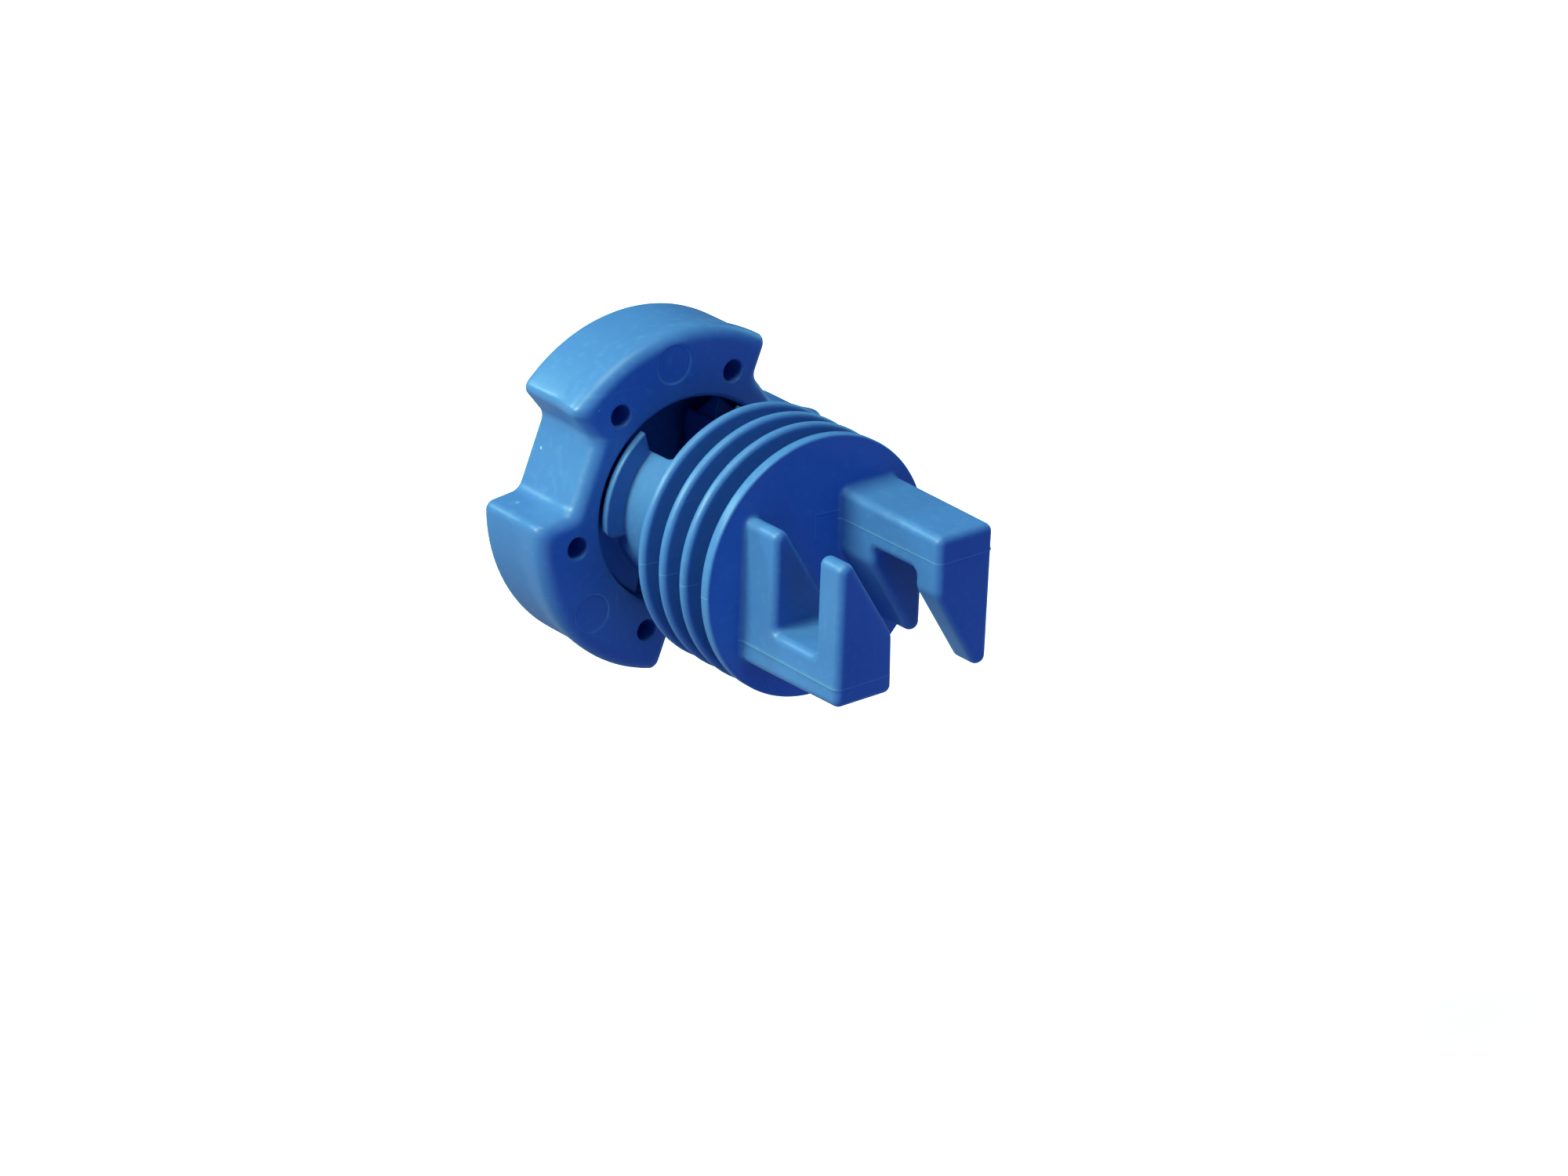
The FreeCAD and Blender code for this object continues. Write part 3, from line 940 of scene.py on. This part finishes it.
def noise_node(tree, scale, detail, stretch=(1, 1, 1)):
    """Noise over the object's own coordinates, scale in features per metre."""
    mapping = add_node(tree, "ShaderNodeMapping", {"Vector": object_place(tree), "Scale": stretch})
    values = {"Vector": mapping.outputs["Vector"], "Scale": scale, "Detail": detail}
    return add_node(tree, "ShaderNodeTexNoise", values).outputs["Fac"]


def repeat(piece, sizes):
    """Repeat a piece along or round the insulator's axis, as a plain mesh."""
    modifier = piece.modifiers.new("repeat", "NODES")
    modifier.node_group = repeat_tree()
    for socket in modifier.node_group.interface.items_tree:
        if socket.name in sizes:
            modifier[socket.identifier] = sizes[socket.name]
    bake(piece)


def repeat_tree():
    """Copies of a mesh, each a pitch further towards the hooks and turned on by a step."""
    tree, entry, leave = new_tree("repeat_on_the_axis", {
        "Mesh": "Geometry", "Count": "Int", "Pitch": "Float", "Step": "Float",
        "Plastic": "Material",
    }, {"Mesh": "Geometry"}, "GeometryNodeTree")
    back = math_node(tree, "MULTIPLY", entry["Pitch"], -1.0)
    offset = add_node(tree, "ShaderNodeCombineXYZ", {"Y": back})
    values = {"Count": entry["Count"], "Offset": offset.outputs["Vector"]}
    line = add_node(tree, "GeometryNodeMeshLine", values)
    number = tree.nodes.new("GeometryNodeInputIndex").outputs["Index"]
    angle = math_node(tree, "MULTIPLY", number, entry["Step"])
    turn = add_node(tree, "ShaderNodeCombineXYZ", {"Y": angle})
    copies = add_node(tree, "GeometryNodeInstanceOnPoints", {
        "Points": line.outputs["Mesh"],
        "Instance": entry["Mesh"],
        "Rotation": turn.outputs["Vector"],
    })
    real = add_node(tree, "GeometryNodeRealizeInstances", {"Geometry": copies.outputs["Instances"]})
    values = {"Geometry": real.outputs["Geometry"], "Material": entry["Plastic"]}
    dressed = add_node(tree, "GeometryNodeSetMaterial", values)
    tree.links.new(dressed.outputs["Geometry"], leave["Mesh"])
    return tree


def moulded_tone_group():
    """Colour and gloss of moulded plastic: soft flow clouds, fine mottle, faint haze."""
    group, entry, leave = new_tree("moulded_tone", {
        "Base": "Color", "Deep": "Color", "Pale": "Color", "Cloud scale": "Float",
        "Mottle scale": "Float", "Gloss roughness": "Float",
    }, {"Color": "Color", "Roughness": "Float"})
    clouds = noise_node(group, entry["Cloud scale"], 3.0, (1, 0.45, 1))
    mottle = noise_node(group, entry["Mottle scale"], 2.0)
    cloud_share = range_node(group, clouds, 0.35, 0.70, 0.0, 0.85)
    haze_share = range_node(group, mottle, 0.52, 0.80, 0.0, 0.07)
    clouded = colour_mix(group, cloud_share, entry["Base"], entry["Deep"])
    cloud_gloss = range_node(group, clouds, 0.3, 0.7, -0.05, 0.06)
    mottle_gloss = range_node(group, mottle, 0.3, 0.7, -0.03, 0.04)
    varied = math_node(group, "ADD", cloud_gloss, mottle_gloss)
    feed(group, leave, {
        "Color": colour_mix(group, haze_share, clouded, entry["Pale"]),
        "Roughness": math_node(group, "ADD", entry["Gloss roughness"], varied, clamp=True),
    })
    return group


def moulded_grain_group():
    """Height of the fine spark-eroded grain that the mould leaves, with a slow ripple."""
    group, entry, leave = new_tree("moulded_grain", {
        "Grain scale": "Float", "Ripple scale": "Float", "Ripple share": "Float",
    }, {"Height": "Float"})
    grain = noise_node(group, entry["Grain scale"], 4.0)
    ripple = noise_node(group, entry["Ripple scale"], 1.0)
    slow = math_node(group, "MULTIPLY", ripple, entry["Ripple share"])
    group.links.new(math_node(group, "ADD", grain, slow), leave["Height"])
    return group


def soft_edge_sheen_group():
    """Normals softened at sharp edges, and a broken mask of painted sheen, a painted highlight, along
    the edges themselves.
    """
    group, entry, leave = new_tree("soft_edge_sheen", {
        "Edge radius": "Float", "Edge sheen strength": "Float",
    }, {"Normal": "Vector", "Mask": "Float"})
    bevel = add_node(group, "ShaderNodeBevel", {"Radius": entry["Edge radius"]}, samples=6)
    soft = bevel.outputs["Normal"]
    true = group.nodes.new("ShaderNodeNewGeometry").outputs["Normal"]
    closeness = vector_node(group, "DOT_PRODUCT", {0: soft, 1: true})["Value"]
    bend = math_node(group, "SUBTRACT", 1.0, closeness)
    edge = range_node(group, bend, 0.02, 0.20)
    breaks = range_node(group, noise_node(group, 700.0, 3.0), 0.38, 0.62, 0.25, 1.0)
    # Painted highlight: the broken edge mask lays pale colour along the edges as a sheen
    edge_sheen = math_node(group, "MULTIPLY", edge, breaks)
    mask = math_node(group, "MULTIPLY", edge_sheen, entry["Edge sheen strength"])
    feed(group, leave, {"Normal": soft, "Mask": mask})
    return group


def light_scuffs_group():
    """Mask of short hair scratches in two directions and of sparse pale specks."""
    group, entry, leave = new_tree("light_scuffs", {
        "Scratch strength": "Float", "Speck strength": "Float", "Speck scale": "Float",
    }, {"Mask": "Float"})
    first = noise_node(group, 420.0, 2.0, (0.10, 1.0, 2.4))
    first = range_node(group, first, 0.70, 0.76)
    second = noise_node(group, 380.0, 2.0, (2.2, 0.9, 0.12))
    second = range_node(group, second, 0.71, 0.77)
    scratches = math_node(group, "MAXIMUM", first, second)
    scratches = math_node(group, "MULTIPLY", scratches, entry["Scratch strength"])
    cells = add_node(group, "ShaderNodeTexVoronoi", {
        "Vector": object_place(group),
        "Scale": entry["Speck scale"],
        "Randomness": 1.0,
    }).outputs
    near = range_node(group, cells["Distance"], 0.035, 0.060, 1.0, 0.0)
    parts = add_node(group, "ShaderNodeSeparateColor", {"Color": cells["Color"]})
    chosen = math_node(group, "GREATER_THAN", parts.outputs["Red"], 0.55)
    specks = math_node(group, "MULTIPLY", near, chosen)
    specks = math_node(group, "MULTIPLY", specks, entry["Speck strength"])
    group.links.new(math_node(group, "MAXIMUM", scratches, specks), leave["Mask"])
    return group


def witness_line_group():
    """Mask of a thin line where a coordinate has one value, where the gate is open."""
    group, entry, leave = new_tree("witness_line", {
        "Coordinate": "Float", "Place": "Float", "Half width": "Float", "Gate": "Float",
    }, {"Mask": "Float"})
    away = math_node(group, "SUBTRACT", entry["Coordinate"], entry["Place"])
    away = math_node(group, "ABSOLUTE", away)
    inside = math_node(group, "LESS_THAN", away, entry["Half width"])
    is_open = math_node(group, "GREATER_THAN", entry["Gate"], 0.0)
    group.links.new(math_node(group, "MULTIPLY", inside, is_open), leave["Mask"])
    return group


def stroke_mark_group():
    """Mask of a short stroke from one point to another, with a soft edge."""
    group, entry, leave = new_tree("stroke_mark", {
        "Start": "Vector", "Way": "Vector", "Half width": "Float", "Strength": "Float",
    }, {"Mask": "Float"})
    way = entry["Way"]
    offset = vector_node(group, "SUBTRACT", {0: object_place(group), 1: entry["Start"]})["Vector"]
    along = vector_node(group, "DOT_PRODUCT", {0: offset, 1: way})["Value"]
    square = vector_node(group, "DOT_PRODUCT", {0: way, 1: way})["Value"]
    share = math_node(group, "DIVIDE", along, square, clamp=True)
    reach = vector_node(group, "SCALE", {0: way, "Scale": share})["Vector"]
    across = vector_node(group, "SUBTRACT", {0: offset, 1: reach})["Vector"]
    distance = vector_node(group, "LENGTH", {0: across})["Value"]
    widths = math_node(group, "DIVIDE", distance, entry["Half width"])
    soft = range_node(group, widths, 0.6, 1.2, 1.0, 0.0)
    group.links.new(math_node(group, "MULTIPLY", soft, entry["Strength"]), leave["Mask"])
    return group


def ring_highlight_group():
    """Broken mask of a thin ring of painted highlight about a centre on a face square to the Y axis.
    """
    group, entry, leave = new_tree("ring_highlight", {
        "Centre": "Vector", "Radius": "Float", "Half width": "Float", "Strength": "Float",
    }, {"Mask": "Float"})
    distance = vector_node(group, "DISTANCE", {0: object_place(group), 1: entry["Centre"]})["Value"]
    away = math_node(group, "ABSOLUTE", math_node(group, "SUBTRACT", distance, entry["Radius"]))
    widths = math_node(group, "DIVIDE", away, entry["Half width"])
    soft = range_node(group, widths, 0.5, 1.3, 1.0, 0.0)
    breaks = range_node(group, noise_node(group, 160.0, 1.0), 0.38, 0.60, 0.15, 1.0)
    # Painted highlight: a pale ring that stands in for light caught on a mark's edge
    ring = math_node(group, "MULTIPLY", soft, breaks)
    group.links.new(math_node(group, "MULTIPLY", ring, entry["Strength"]), leave["Mask"])
    return group


def build_groups():
    """Effects that both plastics use, each built once."""
    return {
        "tone": moulded_tone_group(),
        "grain": moulded_grain_group(),
        "edge": soft_edge_sheen_group(),
        "scuffs": light_scuffs_group(),
        "line": witness_line_group(),
        "stroke": stroke_mark_group(),
        "ring": ring_highlight_group(),
    }


def place_group(tree, group, values):
    """Outputs of a group placed in a material with its own values."""
    return add_node(tree, "ShaderNodeGroup", values, node_tree=group).outputs


def body_lines(tree, groups):
    """Mask of the witness lines on both arms, the fins' rims and the disc's rim."""
    parts = add_node(tree, "ShaderNodeSeparateXYZ", {"Vector": object_place(tree)}).outputs
    x, y, z = parts["X"], parts["Y"], parts["Z"]
    ahead = math_node(tree, "SUBTRACT", DISC_FRONT_Y * MM, y)
    squares = (math_node(tree, "MULTIPLY", way, way) for way in (x, z))
    radius = math_node(tree, "SQRT", math_node(tree, "ADD", *squares))
    outwards = math_node(tree, "SUBTRACT", radius, (FIN_RADIUS - RIM_LINE_REACH) * MM)
    behind = math_node(tree, "SUBTRACT", y, (DISC_FRONT_Y + LINE_HEIGHT) * MM)
    gates = {0.0: math_node(tree, "MINIMUM", outwards, behind)}
    for side, line_z in ARM_LINES.items():
        gates[line_z] = math_node(tree, "MINIMUM", math_node(tree, "MULTIPLY", x, side), ahead)
    joined = 0.0
    for line_z, gate in gates.items():
        line = place_group(tree, groups["line"], {
            "Coordinate": z,
            "Place": line_z * MM,
            "Half width": LINE_HALF_WIDTH * MM,
            "Gate": gate,
        })
        joined = math_node(tree, "MAXIMUM", line["Mask"], joined)
    return math_node(tree, "MULTIPLY", joined, WITNESS_STRENGTH)


def mark_masks(tree, groups, strokes, rings):
    """Joined mask of strokes and of rings of painted highlight, whose places and sizes are in
    millimetres.
    """
    marks = []
    for start, end, half_width, strength in strokes:
        values = {"Start": Vector(start) * MM, "Way": (Vector(end) - Vector(start)) * MM}
        marks.append((groups["stroke"], values, half_width, strength))
    for centre, radius, half_width, strength in rings:
        values = {"Centre": Vector(centre) * MM, "Radius": radius * MM}
        marks.append((groups["ring"], values, half_width, strength))
    joined = 0.0
    for group, values, half_width, strength in marks:
        sizes = {"Half width": half_width * MM, "Strength": strength}
        mark = place_group(tree, group, {**values, **sizes})
        joined = math_node(tree, "MAXIMUM", mark["Mask"], joined)
    return joined


def new_material(name):
    """Material with its node tree and its shader's inputs."""
    material = bpy.data.materials.new(name)
    material.use_nodes = True
    tree = material.node_tree
    return material, tree, tree.nodes["Principled BSDF"].inputs


def plastic_material(name, groups, tone, scuffs, strokes, rings, lines=None):
    """Semi-matt blue plastic with flow clouds, grain, scuffs and marks, with painted sheen on its
    edges and painted highlights on rings.
    """
    material, tree, shader = new_material(name)
    colour = place_group(tree, groups["tone"], {**PLASTIC_TONE, **tone})
    grain = place_group(tree, groups["grain"], GRAIN)
    # Softened edge normals, and a painted sheen of pale colour along the sharp edges
    edge_values = {"Edge radius": EDGE_SOFTNESS * MM, "Edge sheen strength": EDGE_SHEEN_STRENGTH}
    edge = place_group(tree, groups["edge"], edge_values)
    scuffed = place_group(tree, groups["scuffs"], scuffs)
    # The pale colour joins real scuffs and marks with painted edge sheen and painted highlight rings
    pale = math_node(tree, "MAXIMUM", edge["Mask"], scuffed["Mask"])
    pale = math_node(tree, "MAXIMUM", pale, mark_masks(tree, groups, strokes, rings))
    if lines:
        pale = math_node(tree, "MAXIMUM", pale, lines(tree, groups))
    dull = math_node(tree, "MULTIPLY", scuffed["Mask"], SCUFF_DULLNESS)
    bump = add_node(tree, "ShaderNodeBump", {
        "Strength": GRAIN_STRENGTH,
        "Distance": GRAIN_DEPTH * MM,
        "Height": grain["Height"],
        "Normal": edge["Normal"],
    })
    feed(tree, shader, {
        "Base Color": colour_mix(tree, pale, colour["Color"], PALE_BLUE),
        "Roughness": math_node(tree, "ADD", colour["Roughness"], dull, clamp=True),
        "Specular IOR Level": SPECULAR_LEVEL,
        "Normal": bump.outputs["Normal"],
    })
    return material


def body_strokes():
    """Pale strokes on the disc's front: the mould insert's corner and a small scrape."""
    strokes = []
    for corners in (INSERT_CORNER_LINE, SCRAPE):
        points = [(x, DISC_FRONT_Y - LINE_HEIGHT, z) for x, z in corners]
        for first, last in zip(points, points[1:]):
            strokes.append((first, last, *DISC_STROKE))
    return strokes


def knob_rim_highlights():
    """Painted highlights on the edges of the ejector marks on the knob's front."""
    rings = []
    for lobe in range(KNOB_LOBES):
        x, z = place_xz(EJECTOR_MARK_CIRCLE, KNOB_LOBE_ANGLE + 360.0 * lobe / KNOB_LOBES)
        rings.append(((x, KNOB_FACE_Y, z), EJECTOR_MARK_RADIUS, *EJECTOR_RIM_HIGHLIGHT))
    return rings


def build_camera():
    """Camera that looks at the object as the photograph does."""
    level = Matrix.Rotation(math.radians(CAMERA_AZIMUTH), 4, "Z")
    level = level @ Matrix.Rotation(math.radians(90 - CAMERA_ELEVATION), 4, "X")
    aim = Vector((CAMERA_SHIFT_RIGHT, 0, CAMERA_DISTANCE))
    place = level @ aim - Vector((0, 0, CAMERA_DROP))
    roll = Matrix.Rotation(math.radians(CAMERA_ROLL), 4, "Z")
    data = bpy.data.cameras.new("photo_camera")
    data.lens = CAMERA_LENS_MM
    data.sensor_width = CAMERA_SENSOR_MM
    data.clip_start = 0.01
    camera = place_object("photo_camera", data)
    camera.matrix_world = Matrix.Translation(place) @ level @ roll
    bpy.context.scene.camera = camera


def build_surround():
    """Low blue surround that shows white to the camera."""
    world = bpy.data.worlds.new("studio")
    world.use_nodes = True
    tree = world.node_tree
    surround = tree.nodes["Background"]
    feed(tree, surround.inputs, {"Color": SURROUND_BLUE, "Strength": SURROUND_STRENGTH})
    backdrop = add_node(tree, "ShaderNodeBackground", {"Color": WHITE})
    choice = add_node(tree, "ShaderNodeMixShader", {
        "Fac": tree.nodes.new("ShaderNodeLightPath").outputs["Is Camera Ray"],
        1: surround.outputs["Background"],
        2: backdrop.outputs["Background"],
    })
    tree.links.new(choice.outputs["Shader"], tree.nodes["World Output"].inputs["Surface"])
    bpy.context.scene.world = world


def build_lamps():
    """Soft key from the upper left and softer lamps round it."""
    for name, (place, width, power, colour) in LAMPS.items():
        data = bpy.data.lights.new(name, "AREA")
        data.shape = "DISK"
        data.size = width
        data.energy = power
        data.color = colour
        light = place_object(name, data)
        light.location = place
        light.rotation_euler = (-Vector(place)).to_track_quat("-Z", "Y").to_euler()


def build_floor():
    """Floor that the lamps and its own glow make white to the camera."""
    corners = [(x, y, -FLOOR_DROP) for x, _, y in circle(FLOOR_RADIUS, 0, FLOOR_SEGMENTS)]
    mesh = bpy.data.meshes.new("floor")
    mesh.from_pydata(corners, [], [list(range(FLOOR_SEGMENTS))])
    floor = place_object("floor", mesh)
    material, tree, shader = new_material("floor_paper")
    path = tree.nodes.new("ShaderNodeLightPath").outputs
    mirrored = math_node(tree, "MULTIPLY", path["Is Glossy Ray"], FLOOR_REFLECTED_SHARE)
    seen = math_node(tree, "MAXIMUM", path["Is Camera Ray"], mirrored)
    distance = vector_node(tree, "LENGTH", {0: object_place(tree)})["Value"]
    glow = range_node(tree, distance, GLOW_START, GLOW_END, GLOW_NEAR, 1.0)
    feed(tree, shader, {
        "Base Color": colour_mix(tree, seen, FLOOR_DIM, FLOOR_PALE),
        "Roughness": FLOOR_ROUGHNESS,
        "Emission Color": WHITE,
        "Emission Strength": math_node(tree, "MULTIPLY", glow, seen),
    })
    floor.data.materials.append(material)


def main():
    """Stage, materials and both pieces."""
    build_camera()
    build_surround()
    build_lamps()
    build_floor()
    bpy.context.scene.view_settings.view_transform = "Standard"
    groups = build_groups()
    body_plastic = plastic_material(
        "insulator_plastic", groups, BODY_TONE, BODY_SCUFFS, body_strokes(), (), body_lines,
    )
    knob_plastic = plastic_material(
        "knob_plastic", groups, KNOB_TONE, KNOB_SCUFFS, KNOB_STROKES, knob_rim_highlights(),
    )
    finish_piece(insulator_body(body_plastic), "insulator_body", body_plastic)
    finish_piece(clamp_knob(knob_plastic), "clamp_knob", knob_plastic)


main()
